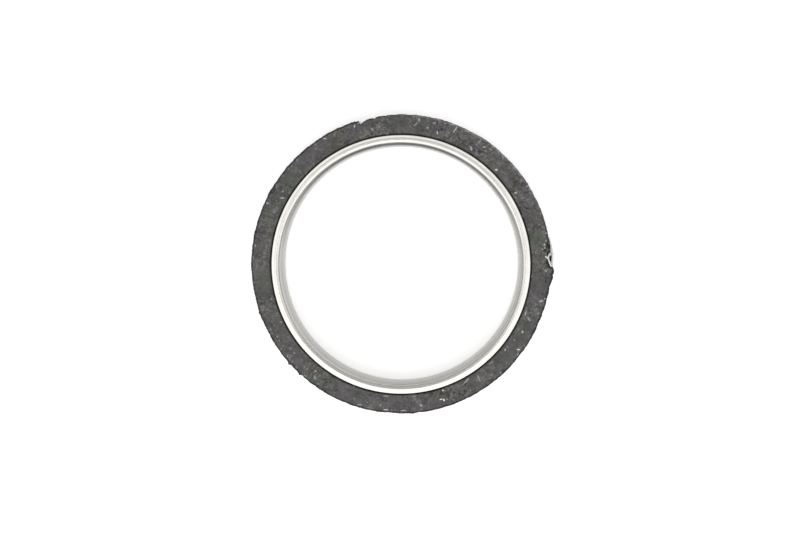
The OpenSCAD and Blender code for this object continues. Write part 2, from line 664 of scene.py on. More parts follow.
class Surface(MaterialSheet):
    """The sheet of a material with one Principled shader, and the shared effects as they lie on it."""

    def __init__(self, name: str, effects: EffectLibrary) -> None:
        """Makes the material with its shader and its Object coordinates.

        Args:
            name: the material's name.
            effects: the shared node groups.
        """
        super().__init__(name)
        self.effects = effects
        self.shader = self.add("ShaderNodeBsdfPrincipled")
        self.send(self.shader.outputs[0])
        self.place = self.add("ShaderNodeTexCoord").outputs["Object"]

    def effect(self, group: Tree, **values: Value) -> Node:
        """Places one of the shared groups and sets its inputs.

        Args:
            group: the node group.
            values: its inputs by name. The vector is the place unless it is given.

        Returns:
            The group's node.
        """
        node = self.add("ShaderNodeGroup", node_tree=group)
        for name, value in {"Vector": self.place, **values}.items():
            self.feed(value, node.inputs[name])
        return node

    def mottle(self, scale: float, contrast: float, **values: Value) -> Output:
        """Lays soft clouding."""
        return self.effect(self.effects.mottle, Scale=scale, Contrast=contrast, **values).outputs[0]

    def flakes(self, scale: float, share: float, size: float) -> Node:
        """Lays small irregular patches."""
        return self.effect(self.effects.speckle, Scale=scale, Share=share, Size=size)

    def attribute(self, name: str) -> Output:
        """Reads an attribute that was painted on the mesh."""
        return self.add("ShaderNodeAttribute", attribute_name=name).outputs["Fac"]

    def facing(self, angle: float, radius: Output) -> Output:
        """Gives 1 where the ring lies at an angle, falling to -1 on the side opposite."""
        reach = self.vector("DOT_PRODUCT", self.place, polar(1.0, angle)).outputs["Value"]
        return self.maths("DIVIDE", reach, radius)

    def coat(self, relief: Output, depth: float, strength: float, **values: Value) -> bpy.types.Material:
        """Sets the shader's relief and its other inputs.

        Args:
            relief: the height that the Bump node reads.
            depth: the relief's depth.
            strength: the Bump node's strength.
            values: the shader's inputs by name, with underscores for spaces.

        Returns:
            The material.
        """
        bump = self.add("ShaderNodeBump", Height_=relief, Distance_=depth, Strength_=strength)
        self.feed(bump.outputs["Normal"], self.shader.inputs["Normal"])
        for name, value in values.items():
            self.feed(value, self.shader.inputs[name.replace("_", " ")])
        return self.material


@dataclass(frozen=True)
class GraphiteFinish:
    """Pressed graphite: dull dark grey, clouded, pitted, with small bright flakes that carry painted glints.

    Each row of clouds is a scale and a contrast, for the broad, middle and fine clouding and the patches.
    """

    name: str = "pressed graphite"
    warm: Colour = (0.096, 0.088, 0.078, 1)
    green: Colour = (0.083, 0.090, 0.077, 1)
    violet: Colour = (0.093, 0.086, 0.090, 1)
    flake_glint: Colour = (0.38, 0.375, 0.365, 1)
    pit: Colour = (0.040, 0.040, 0.041, 1)
    clouds: tuple = ((230.0, 0.14), (820.0, 0.13), (2400.0, 0.12), (190.0, 0.09))
    tint_shift: tuple = (0.3, 0.7, 0.1)
    rebate_r: float = 20.56 * MM
    rebate_fade: float = 0.12 * MM
    rebate_shade: float = 0.33
    rim_shade_from: float = 0.63
    rim_shade_to: float = 0.79
    lit_angle: float = 58.0
    lit_from: float = 0.72
    lit_to: float = 0.95
    rim_shade: float = 0.36
    rim_light: float = 1.7
    wound: tuple = (23.1 * MM, 2.8 * MM, 5.0 * MM)
    wound_near: float = 0.55 * MM
    wound_far: float = 0.95 * MM
    wound_rag: float = 3.4 * MM
    wound_shade: float = 0.18
    rim_flecks_from: float = 0.05
    rim_flecks_to: float = 0.45
    rim_flecks_light: float = 0.85
    relief: float = 0.03 * MM
    relief_share: float = 0.7

    def make(self, effects: EffectLibrary) -> bpy.types.Material:
        """Builds the material.

        Args:
            effects: the shared node groups.

        Returns:
            The material.
        """
        sheet = Surface(self.name, effects)
        fine, relief, level = self.clouding(sheet)
        body = sheet.scaled(self.tint(sheet), sheet.times(level, self.edges(sheet)))
        pits = sheet.flakes(1700.0, 0.20, 0.22).outputs["Mask"]
        colour = sheet.blend(sheet.times(pits, 0.6), body, self.pit)
        # Small flakes, lighter and smoother than the graphite; their lighter colour also carries painted
        # glints.
        flakes = sheet.flakes(1900.0, 0.15, 0.26)
        shine = sheet.spread(flakes.outputs["Chance"], 0.2, 1.0, 0.06, 0.85)
        shine = sheet.times(flakes.outputs["Mask"], shine)
        rough = sheet.spread(fine, 0.0, 1.0, 0.52, 0.72)
        return sheet.coat(
            sheet.minus(relief, pits),
            self.relief,
            self.relief_share,
            Base_Color=sheet.blend(shine, colour, self.flake_glint),
            Roughness=sheet.minus(rough, sheet.times(shine, 0.2)),
            Specular_IOR_Level=0.3,
        )

    def clouding(self, sheet: Surface) -> tuple[Output, Output, Output]:
        """Mixes coarse to fine clouding that is rough in some patches and smooth in others.

        Args:
            sheet: the material's sheet.

        Returns:
            The fine clouding, the relief and the level of the grey.
        """
        broad, middle, fine, patch = [sheet.mottle(*cloud) for cloud in self.clouds]
        clouds = [sheet.times(sheet.minus(c, 0.5), share) for c, share in ((fine, 0.54), (middle, 0.44))]
        grain = sheet.times(sheet.plus(*clouds), sheet.spread(patch, 0.0, 1.0, 0.5, 1.35))
        level = sheet.plus(sheet.plus(grain, 0.86), sheet.spread(broad, 0.0, 1.0, -0.15, 0.15))
        light = sheet.times(self.wisps(sheet, 850.0, 0.045), sheet.times(patch, 0.75))
        dark = sheet.times(self.wisps(sheet, 620.0, 0.03), 0.25)
        level = sheet.times(level, sheet.plus(sheet.minus(1.0, dark), light))
        return fine, sheet.plus(sheet.plus(fine, middle), light), level

    @staticmethod
    def wisps(sheet: Surface, scale: float, width: float) -> Output:
        """Draws thin crooked lines along the middle level of a distorted noise.

        Args:
            sheet: the material's sheet.
            scale: the noise's scale.
            width: how far from the middle level a line reaches.

        Returns:
            1 on the lines, 0 away from them.
        """
        shape = {"Scale_": scale, "Detail_": 3.0, "Roughness_": 0.65, "Distortion_": 0.7}
        noise = sheet.add("ShaderNodeTexNoise", Vector_=sheet.place, **shape)
        middle = sheet.maths("ABSOLUTE", sheet.minus(noise.outputs["Fac"], 0.5))
        return sheet.spread(middle, 0.0, width, 1.0, 0.0)

    def edges(self, sheet: Surface) -> Output:
        """Paints shade into the rebates, into the pits of the broken place and along the rim, with a painted
        highlight on the rim at the upper right, and lightens flecks towards the rim.

        Args:
            sheet: the material's sheet.

        Returns:
            The share of the grey that is left.
        """
        radius = sheet.effect(sheet.effects.ring_place).outputs["Radius"]
        # Painted shade in the rebates beside the sleeve's flanges.
        rebate = sheet.spread(radius, self.rebate_r, self.rebate_r + self.rebate_fade, self.rebate_shade, 1.0)
        # Painted shade along the rim's edge, turning into a painted highlight on the side that faces the
        # light.
        share = sheet.attribute(RIM_SHARE)
        ragged = sheet.minus(sheet.noise(sheet.place, 1500.0, 3.0, 0.6), 0.5)
        rim = sheet.spread(sheet.plus(share, sheet.times(ragged, 0.4)), self.rim_shade_from, self.rim_shade_to)
        facing = sheet.facing(self.lit_angle, radius)
        tone = sheet.spread(facing, self.lit_from, self.lit_to, self.rim_shade, self.rim_light)
        rim_level = sheet.plus(1.0, sheet.times(rim, sheet.minus(tone, 1.0)))
        # Painted shade in the pits and hollows of the broken place.
        wound = sheet.vector("DISTANCE", sheet.place, self.wound).outputs["Value"]
        holes = sheet.minus(sheet.noise(sheet.place, 2600.0, 2.0, 0.5), 0.5)
        reach = sheet.plus(wound, sheet.times(holes, self.wound_rag))
        broken = sheet.spread(reach, self.wound_near, self.wound_far, self.wound_shade, 1.0)
        # Flecks that are lighter towards the rim.
        rim_flecks = sheet.spread(share, self.rim_flecks_from, self.rim_flecks_to, 0.0, self.rim_flecks_light)
        rim_flecks = sheet.times(sheet.flakes(2100.0, 0.42, 0.34).outputs["Mask"], rim_flecks)
        level = sheet.times(sheet.times(rebate, rim_level), broken)
        return sheet.times(level, sheet.plus(1.0, rim_flecks))

    def tint(self, sheet: Surface) -> Output:
        """Drifts between three near-greys.

        Args:
            sheet: the material's sheet.

        Returns:
            The tint at full level.
        """
        shifted = sheet.vector("ADD", sheet.place, self.tint_shift).outputs[0]
        first = sheet.mottle(330.0, 0.09)
        second = sheet.mottle(300.0, 0.09, Vector=shifted)
        return sheet.blend(second, sheet.blend(first, self.warm, self.green), self.violet)


@dataclass(frozen=True)
class SleeveFinish:
    """Satin stainless sheet with fine marks that run round the ring.

    foot, lip and face are heights. The wall's colour and the tint of its reflection carry painted shade,
    darker from the foot up to the lip and darkest under the lip on the side away from the light, and a
    painted highlight under the lip on the side towards it. Of the two pairs of reaches under the lip, the
    first gives where the painted shade begins and is full and the second where the painted highlight does,
    and fade gives how far under and over the face both end.
    """

    name: str = "satin stainless sheet"
    clean: Colour = (0.722, 0.705, 0.669, 1)
    dull: Colour = (0.630, 0.614, 0.580, 1)
    smear: Colour = (0.16, 0.16, 0.16, 1)
    foot: float = 1.2 * MM
    lip: float = 4.45 * MM
    face: float = 4.88 * MM
    wall_shade_level: float = 0.855
    lip_shade_level: float = 0.665
    far_shade_level: float = 0.42
    far_angle: float = 90.0
    under_lip_shade: tuple = (2.35 * MM, 0.6 * MM)
    fade: tuple = (0.12 * MM, 0.08 * MM)
    glow: tuple = (0.9 * MM, 0.1 * MM)
    lip_highlight_angle: float = 192.0
    lip_highlight_spread: tuple = (0.2, 0.95, -0.08, 0.14)
    relief: float = 0.013 * MM
    relief_share: float = 0.9

    def make(self, effects: EffectLibrary) -> bpy.types.Material:
        """Builds the material.

        Args:
            effects: the shared node groups.

        Returns:
            The material.
        """
        sheet = Surface(self.name, effects)
        marks = sheet.effect(effects.turned_marks, Pitch=9000.0, Breakup=260.0).outputs[0]
        cloud = sheet.mottle(330.0, 0.25)
        dust = sheet.flakes(1500.0, 0.05, 0.14).outputs["Mask"]
        colour = sheet.blend(sheet.times(cloud, 0.6), self.clean, self.dull)
        colour = sheet.blend(sheet.times(dust, 0.35), colour, self.smear)
        # Painted shade and highlight: shade scales both the colour and the tint of the reflection.
        shade = self.wall_shade(sheet)
        rough = [sheet.spread(cloud, 0.0, 1.0, 0.13, 0.21), sheet.spread(marks, 0.3, 0.7, 0.0, 0.08)]
        return sheet.coat(
            marks,
            self.relief,
            self.relief_share,
            Base_Color=sheet.scaled(colour, shade),
            Specular_Tint=sheet.scaled((1.0, 1.0, 1.0), shade),
            Roughness=sheet.plus(*rough),
            Metallic=1.0,
        )

    def wall_shade(self, sheet: Surface) -> Output:
        """Paints shade on the bore's wall, most under the lip on the side away from the light,
        and a painted highlight under the lip on the side towards it.

        Args:
            sheet: the material's sheet.

        Returns:
            The share of the colour that is left.
        """
        ring = sheet.effect(sheet.effects.ring_place)
        radius, height = ring.outputs["Radius"], ring.outputs["Height"]
        side = sheet.spread(sheet.facing(self.far_angle, radius), 0.1, 0.9)
        # Painted shade: the wall darkens from its foot up to the lip.
        tone = sheet.spread(height, self.foot, self.lip, self.wall_shade_level, self.lip_shade_level)
        tone = sheet.maths("MAXIMUM", tone, sheet.spread(height, self.lip, self.face))
        under_lip, near_lip = [
            sheet.spread(height, self.lip - start, self.lip - full) for start, full in (self.under_lip_shade, self.glow)
        ]
        fading = sheet.spread(height, self.face - self.fade[0], self.face + self.fade[1], 1.0, 0.0)
        # Painted shade under the lip, on the side away from the light.
        under_lip_shade = sheet.times(sheet.times(under_lip, fading), sheet.times(side, 1.0 - self.far_shade_level))
        # Painted highlight under the lip, on the side towards the light.
        glow = sheet.spread(sheet.facing(self.lip_highlight_angle, radius), *self.lip_highlight_spread)
        glow = sheet.times(glow, sheet.times(near_lip, fading))
        tone = sheet.times(tone, sheet.plus(1.0, glow))
        return sheet.times(tone, sheet.minus(1.0, under_lip_shade))


@dataclass(frozen=True)
class WireFinish:
    """Bright drawn wire with graphite on it. The attribute gleam says how clean each piece is."""

    name: str = "drawn wire"
    bright: Colour = (0.82, 0.81, 0.79, 1)
    grey: Colour = (0.58, 0.575, 0.56, 1)
    smear: Colour = (0.11, 0.107, 0.103, 1)
    relief: float = 0.01 * MM
    relief_share: float = 0.4

    def make(self, effects: EffectLibrary) -> bpy.types.Material:
        """Builds the material.

        Args:
            effects: the shared node groups.

        Returns:
            The material.
        """
        sheet = Surface(self.name, effects)
        cloud = sheet.mottle(2500.0, 0.2)
        under_lip_shade = sheet.flakes(3500.0, 0.18, 0.3).outputs["Mask"]
        clean = sheet.attribute(GLEAM)
        colour = sheet.blend(cloud, self.bright, self.grey)
        colour = sheet.blend(sheet.times(under_lip_shade, 0.5), colour, self.smear)
        return sheet.coat(
            cloud,
            self.relief,
            self.relief_share,
            Base_Color=sheet.blend(clean, self.smear, colour),
            Roughness=sheet.spread(cloud, 0.0, 1.0, 0.30, 0.48),
            Metallic=sheet.spread(clean, 0.3, 0.7),
        )


@dataclass
class Sleeve:
    """The stainless sleeve: a straight wall, a soft bend at each end and a flange out from each bend."""

    sizes: GasketSizes
    segments: int = 600
    rim_r: float = 0.07 * MM
    rim_out: float = 0.02 * MM
    crown_step: float = 0.02 * MM
    turn_steps: int = 12
    crown: tuple[tuple[float, float], ...] = (
        (0.30, 0.0),
        (0.38, -3.0),
        (0.42, -11.0),
        (0.48, -11.0),
        (0.52, -4.0),
        (0.56, -4.0),
        (0.60, -9.0),
        (0.64, -5.0),
        (0.67, 2.0),
        (0.74, 12.0),
        (0.84, 19.0),
        (0.96, 24.0),
        (1.04, 29.0),
        (1.10, 35.0),
        (1.14, 43.0),
    )

    def half_section(self) -> list[Station]:
        """Lists the upper half of the skin, from the middle of the bore's wall round to the back.

        Returns:
            Stations from the bore side, over the flange and its rim, to the hidden side of the wall.
        """
        s = self.sizes
        bend = Station(s.bore_r + s.bend_r, s.high - s.bend_r)
        middle = Station(s.bore_r, (s.low + s.high) / 2)
        crown = self.crown_skin()
        bore_side = [middle, *line(middle, crown[0], 6), *crown]
        rim_top = Station(s.flange_r + self.rim_out - self.rim_r, s.high - self.rim_r)
        flange = line(crown[-1], Station(rim_top.radius, s.high), 3)
        rim = arc(rim_top, self.rim_r, 90, 0, 4)
        under = s.high - s.sheet_t
        edge = Station(s.flange_r, under)
        corner = [edge, *line(edge, Station(bend.radius, under), 2)]
        inner_bend = arc(bend, s.bend_r - s.sheet_t, 90, 180, 6)
        return [*bore_side, *flange, *rim, *corner, *inner_bend]

    def crown_skin(self) -> list[Station]:
        """Follows the slopes of the crown inwards from the flat of the flange, then turns into the wall.

        Returns:
            Stations from the top of the bore's wall outwards to the flat of the flange.
        """
        s = self.sizes
        places = [across * MM for across, _ in self.crown]
        slopes = [slope for _, slope in self.crown]
        across, height = places[0], s.high
        skin = [Station(s.flange_r - across, height)]
        while across < places[-1] - TINY:
            after = next(i for i, place in enumerate(places) if place > across + TINY)
            share = (across + self.crown_step / 2 - places[after - 1]) / (places[after] - places[after - 1])
            slope = slopes[after - 1] + (slopes[after] - slopes[after - 1]) * share
            height -= self.crown_step * math.tan(math.radians(slope))
            across += self.crown_step
            skin.append(Station(s.flange_r - across, height))
        last = math.radians(slopes[-1])
        turn_r = (skin[-1].radius - s.bore_r) / (1 - math.sin(last))
        centre = Station(s.bore_r + turn_r, height - turn_r * math.cos(last))
        skin.extend(arc(centre, turn_r, 90 + slopes[-1], 180, self.turn_steps)[1:])
        return skin[::-1]

    def build(self) -> Piece:
        """Turns the skin and its mirror image into one closed ring.

        Returns:
            The sleeve, without its finish.
        """
        s = self.sizes
        upper = self.half_section()
        lower = [Station(p.radius, s.low + s.high - p.height) for p in reversed(upper[1:])]
        piece = Workshop.turn_ring("sleeve_skin", [*upper, *lower], self.segments)
        Workshop.displace(piece, 3.0 * MM, 0.012 * MM)
        Workshop.take_up(piece)
        bpy.ops.object.shade_smooth()
        return piece

    def dress(self, effects: EffectLibrary) -> Piece:
        """Builds the sleeve, gives it its finish and puts it in the CAD sleeve's place.

        Args:
            effects: the shared node groups.

        Returns:
            The finished piece.
        """
        piece = self.build()
        piece.data.materials.append(SleeveFinish().make(effects))
        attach(piece, "root")
        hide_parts("sleeve")
        return piece


@dataclass(frozen=True)
class RimEdit:
    """A place where the rim stands out or has broken away."""

    angle: float
    out_mm: float
    reach_mm: float
    falloff: Falloff = Falloff.SMOOTH
    drop_mm: float = 0.6
    down_mm: float = 0.0


@dataclass
class GraphiteRing:
    """The pressed graphite ring, with its rebates, its ragged rim and its damage."""

    sizes: GasketSizes
    segments: int = 960
    face_step: float = 0.15 * MM
    rim_step: float = 0.25 * MM
    edge_r: float = 0.14 * MM
    hidden_gap: float = 0.05 * MM
    rim_band: float = 1.0 * MM
    notch_depth: float = 4.0 * MM
    notch_share: float = 0.74
    worked_band: float = 0.9 * MM
    crease: float = math.radians(60)
    notch: tuple[tuple[float, float], ...] = (
        (-6.72, 24.60),
        (-6.49, 22.62),
        (-6.40, 22.22),
        (-6.34, 21.93),
        (-6.22, 21.96),
        (-5.83, 22.31),
        (-5.45, 22.55),
        (-5.20, 22.68),
        (-4.75, 22.84),
        (-4.35, 22.92),
        (-4.12, 22.92),
        (-3.99, 22.80),
        (-3.88, 22.98),
        (-3.60, 23.12),
        (-3.20, 23.36),
        (-3.00, 24.60),
    )
    edits: tuple[RimEdit, ...] = (
        RimEdit(358.4, 0.42, 0.70, Falloff.SPHERE, 0.3),
        RimEdit(355.4, 0.42, 1.80, Falloff.SMOOTH, 0.3),
        RimEdit(356.9, 0.30, 1.60, Falloff.SMOOTH, 1.7),
        RimEdit(1.8, 0.46, 0.90, Falloff.SPHERE, 1.4),
        RimEdit(4.8, 0.20, 1.20, Falloff.SMOOTH, 1.8),
        RimEdit(2.0, -0.10, 0.60, Falloff.SPHERE, 0.0, 0.75),
        RimEdit(3.6, -0.10, 0.50, Falloff.SPHERE, 0.0, 0.45),
        RimEdit(0.6, -0.05, 0.45, Falloff.SPHERE, 0.0, 0.55),
        RimEdit(6.3, -0.08, 0.45, Falloff.SHARP, 0.0, 0.30),
        RimEdit(221.7, 0.24, 0.50, Falloff.SHARP, 0.12),
        RimEdit(227.4, 0.22, 0.50, Falloff.SHARP, 0.12),
        RimEdit(198.8, 0.18, 0.60, Falloff.SHARP, 0.12),
        RimEdit(222.9, -0.06, 0.50, Falloff.SMOOTH, 0.12),
        RimEdit(228.6, -0.08, 0.60, Falloff.SMOOTH, 0.12),
        RimEdit(107.0, -0.08, 0.60, Falloff.SMOOTH, 0.1),
        RimEdit(55.5, 0.10, 3.0),
        RimEdit(100.0, -0.12, 4.0),
        RimEdit(179.0, 0.11, 2.5),
        RimEdit(266.5, -0.13, 1.6),
        RimEdit(323.0, -0.10, 1.4),
        RimEdit(338.0, -0.09, 1.4),
        RimEdit(350.0, 0.12, 1.2),
    )

    def section(self) -> list[Station]:
        """Lists the ring's closed section, from the upper groove outwards and down.

        Returns:
            The stations in order.
        """
        s = self.sizes
        wall_r = s.bore_r + s.sheet_t + self.hidden_gap
        groove_in, groove_out = s.flange_r, s.flange_r + s.groove_w
        face_out = s.outer_r - self.edge_r
        bend = s.bend_r - s.sheet_t
        seat = s.high - s.sheet_t - self.hidden_gap
        across = round((face_out - groove_out) / self.face_step)
        down = round((s.high - s.low - 2 * self.edge_r) / self.rim_step)
        corner = Station(face_out, s.high - self.edge_r)
        middle = (s.low + s.high) / 2
        upper = [
            Station(wall_r, middle),
            *arc(Station(wall_r + bend, seat - bend), bend, 180, 90, 4),
            Station(groove_in, seat),
            Station(groove_in + 0.01 * MM, s.high - s.groove_d),
            Station(groove_out - 0.03 * MM, s.high - s.groove_d),
            Station(groove_out, s.high - 0.05 * MM),
            *line(Station(groove_out, s.high), Station(face_out, s.high), across),
            *arc(corner, self.edge_r, 90, 0, 4),
        ]
        wall = line(Station(s.outer_r, corner.height), Station(s.outer_r, s.low + self.edge_r), down)
        lower = [Station(p.radius, s.low + s.high - p.height) for p in reversed(upper[1:])]
        return [*upper, *wall, *lower]

    def break_rim(self, piece: Piece) -> None:
        """Pulls the rim out or in where the real one has lumps, burrs and breaks.

        Args:
            piece: the ring, in object mode.
        """
        s = self.sizes
        keep_in = s.outer_r - self.worked_band
        Workshop.take_up(piece)
        bpy.ops.object.mode_set(mode="EDIT")
        Workshop.select_where(piece, lambda co: co.xy.length < keep_in)
        bpy.ops.mesh.hide(unselected=False)
        for edit in self.edits:
            at = polar(s.outer_r, edit.angle, s.high - edit.drop_mm * MM)
            by = polar(edit.out_mm * MM, edit.angle, -edit.down_mm * MM)
            Workshop.pull(piece, at, by, edit.reach_mm * MM, edit.falloff)
        bpy.ops.mesh.reveal()
        bpy.ops.object.mode_set(mode="OBJECT")

    def build(self) -> Piece:
        """Turns the ring, breaks its rim and roughens its faces.

        Returns:
            The ring, without its finish.
        """
        s = self.sizes
        piece = Workshop.turn_ring("graphite_body", self.section(), self.segments)
        Workshop.paint(piece, RIM_SHARE, lambda co: 1.0 - share_of(s.outer_r - co.xy.length, self.rim_band))
        self.break_rim(piece)
        cutter = Workshop.prism(self.notch, s.high - self.notch_depth, s.high + 0.5 * MM)
        Workshop.cut(piece, cutter)
        # The notch's cut faces get a share that lays the rim's painted shade on them too.
        for point in piece.data.color_attributes[RIM_SHARE].data:
            if point.color[3] < 0.5:
                point.color = (*[self.notch_share] * 3, 1.0)
        face_in = s.flange_r + s.groove_w

        def on_face(co: Vector) -> float:
            return share_of(co.xy.length - face_in, 0.2 * MM)

        def on_rim(co: Vector) -> float:
            outward = share_of(co.xy.length - s.outer_r + 0.25 * MM, 0.2 * MM)
            return outward * share_of(co.z - s.low, 0.6 * MM)

        Workshop.weigh(piece, "face", on_face)
        Workshop.weigh(piece, "rim", on_rim)
        Workshop.displace(piece, 0.5 * MM, 0.035 * MM, "face", middle=0.75)
        Workshop.displace(piece, 0.9 * MM, 0.20 * MM, "rim", middle=0.4)
        Workshop.displace(piece, 0.30 * MM, 0.14 * MM, "rim", middle=0.4)
        Workshop.take_up(piece)
        bpy.ops.object.shade_smooth_by_angle(angle=self.crease)
        return piece

    def dress(self, effects: EffectLibrary) -> Piece:
        """Builds the ring, gives it its finish and puts it in the CAD ring's place.

        Args:
            effects: the shared node groups.

        Returns:
            The finished piece.
        """
        piece = self.build()
        piece.data.materials.append(GraphiteFinish().make(effects))
        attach(piece, "root")
        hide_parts("graphite_ring")
        return piece


@dataclass(frozen=True)
class Glint:
    """A piece of wire, a flake or a painted highlight that lies in the upper face."""

    angle: float
    radius_mm: float
    long_mm: float
    wide_mm: float
    turn: float
    gleam: float


@dataclass
class FaceWires:
    """The ends of the reinforcing wire and the larger flakes that come through the upper face,
    and three bright pieces at the rim that are painted highlights.
    """

    sizes: GasketSizes
    stand_mm: float = 0.045
    sink_mm: float = 0.012
    glints: tuple[Glint, ...] = (
        Glint(288.0, 22.34, 0.50, 0.26, 15, 1.00),
        Glint(206.2, 22.86, 0.30, 0.16, 70, 0.30),
        Glint(207.9, 22.98, 0.24, 0.16, 20, 0.42),
        Glint(210.0, 22.55, 0.34, 0.18, 60, 0.34),
        Glint(211.8, 22.62, 0.22, 0.18, 110, 0.26),
        Glint(214.7, 22.53, 0.26, 0.15, 40, 0.20),
        Glint(218.9, 22.97, 0.34, 0.16, 80, 0.32),
        Glint(219.8, 22.86, 0.24, 0.16, 35, 0.36),
        Glint(221.7, 22.90, 0.26, 0.15, 95, 0.26),
        Glint(226.7, 22.10, 0.34, 0.14, 5, 0.28),
        Glint(197.9, 22.84, 0.30, 0.18, 60, 0.28),
        Glint(235.3, 22.86, 0.34, 0.16, 75, 0.26),
        Glint(287.0, 22.10, 0.52, 0.24, 85, 0.90),
        Glint(74.4, 21.43, 0.54, 0.26, 16, 0.85),
        Glint(324.7, 22.76, 0.49, 0.28, 31, 0.80),
        Glint(68.0, 22.79, 1.25, 0.22, 167, 0.75),
        Glint(45.0, 21.09, 0.57, 0.28, 136, 0.75),
        Glint(288.9, 20.83, 0.33, 0.28, 30, 0.65),
        # Painted highlights: the bright pieces at 264.4, 253.9 and 271.2 degrees, on the rim, stand for
        # light catching on its rough edge.
        Glint(264.4, 22.99, 0.92, 0.22, 94, 0.55),
        Glint(78.8, 21.81, 0.31, 0.28, 102, 0.55),
        Glint(108.1, 22.86, 0.53, 0.26, 152, 0.55),
        Glint(105.9, 23.12, 0.55, 0.18, 110, 0.45),
        Glint(331.6, 21.80, 0.44, 0.34, 125, 0.48),
        Glint(253.9, 23.04, 0.95, 0.16, 104, 0.42),
        Glint(120.7, 23.03, 0.56, 0.24, 57, 0.46),
        Glint(339.3, 20.99, 0.80, 0.24, 93, 0.38),
        Glint(32.3, 21.22, 0.50, 0.32, 143, 0.40),
        Glint(321.3, 21.14, 0.45, 0.28, 128, 0.38),
        Glint(8.3, 22.69, 0.62, 0.24, 90, 0.42),
        Glint(346.0, 22.71, 0.70, 0.34, 30, 0.36),
        Glint(58.9, 21.26, 0.72, 0.34, 54, 0.34),
        Glint(278.5, 22.41, 0.55, 0.30, 53, 0.36),
        Glint(54.8, 22.53, 0.42, 0.26, 134, 0.36),
        Glint(298.9, 21.07, 1.15, 0.14, 109, 0.34),
        Glint(150.2, 21.31, 0.70, 0.26, 33, 0.34),
        Glint(154.8, 23.04, 0.45, 0.30, 164, 0.30),
        Glint(172.2, 23.09, 0.40, 0.22, 97, 0.30),
        Glint(82.6, 22.83, 0.65, 0.26, 15, 0.28),
        Glint(83.6, 22.15, 1.00, 0.18, 141, 0.27),
        Glint(271.2, 23.00, 0.85, 0.26, 96, 0.28),
        Glint(231.3, 21.51, 0.50, 0.28, 130, 0.28),
        Glint(323.0, 23.14, 0.40, 0.24, 116, 0.26),
        Glint(219.6, 21.82, 0.30, 0.26, 0, 0.26),
        Glint(263.8, 20.80, 0.85, 0.20, 92, 0.24),
        Glint(98.6, 21.79, 0.30, 0.22, 137, 0.26),
        Glint(101.6, 21.68, 0.50, 0.30, 29, 0.25),
        Glint(300.2, 20.95, 0.90, 0.30, 114, 0.22),
        Glint(304.9, 21.68, 1.20, 0.22, 172, 0.25),
        Glint(337.6, 21.80, 0.90, 0.28, 145, 0.22),
        Glint(232.8, 22.40, 0.75, 0.32, 60, 0.20),
        Glint(76.5, 22.77, 0.60, 0.26, 141, 0.22),
        Glint(57.4, 22.81, 0.85, 0.24, 175, 0.20),
        Glint(313.3, 20.93, 0.85, 0.24, 82, 0.18),
        Glint(358.1, 22.69, 0.55, 0.32, 117, 0.22),
        Glint(7.1, 22.70, 0.34, 0.26, 70, 0.36),
        Glint(9.8, 23.02, 0.30, 0.22, 40, 0.30),
        Glint(12.7, 23.20, 0.26, 0.20, 20, 0.42),
        Glint(347.2, 23.15, 0.34, 0.22, 60, 0.30),
    )

    def add_glint(self, glint: Glint) -> Piece:
        """Makes one flattened piece that lies in the face.

        Args:
            glint: its place, size and turn, and how clean it is.

        Returns:
            The piece.
        """
        Workshop.clear_selection()
        bpy.ops.mesh.primitive_uv_sphere_add(segments=20, ring_count=10, radius=0.5 * MM)
        piece = bpy.context.active_object
        piece.scale = (glint.long_mm, glint.wide_mm, self.stand_mm * 2)
        piece.rotation_euler.z = math.radians(glint.angle + glint.turn)
        piece.location = polar(glint.radius_mm * MM, glint.angle, self.sizes.high - self.sink_mm * MM)
        bpy.ops.object.transform_apply(location=True, rotation=True, scale=True)
        Workshop.paint(piece, GLEAM, lambda co: glint.gleam)
        return piece

    def dress(self, material: bpy.types.Material) -> Piece:
        """Makes every glint, joins them and puts them in the CAD wires' place.

        Args:
            material: the wire's material.

        Returns:
            The joined piece.
        """
        joined = Workshop.join([self.add_glint(glint) for glint in self.glints], "face_wire_ends")
        Workshop.displace(joined, 0.16 * MM, 0.10 * MM)
        Workshop.take_up(joined)
        bpy.ops.object.shade_smooth()
        joined.data.materials.append(material)
        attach(joined, "root")
        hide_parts("surface_wires")
        return joined


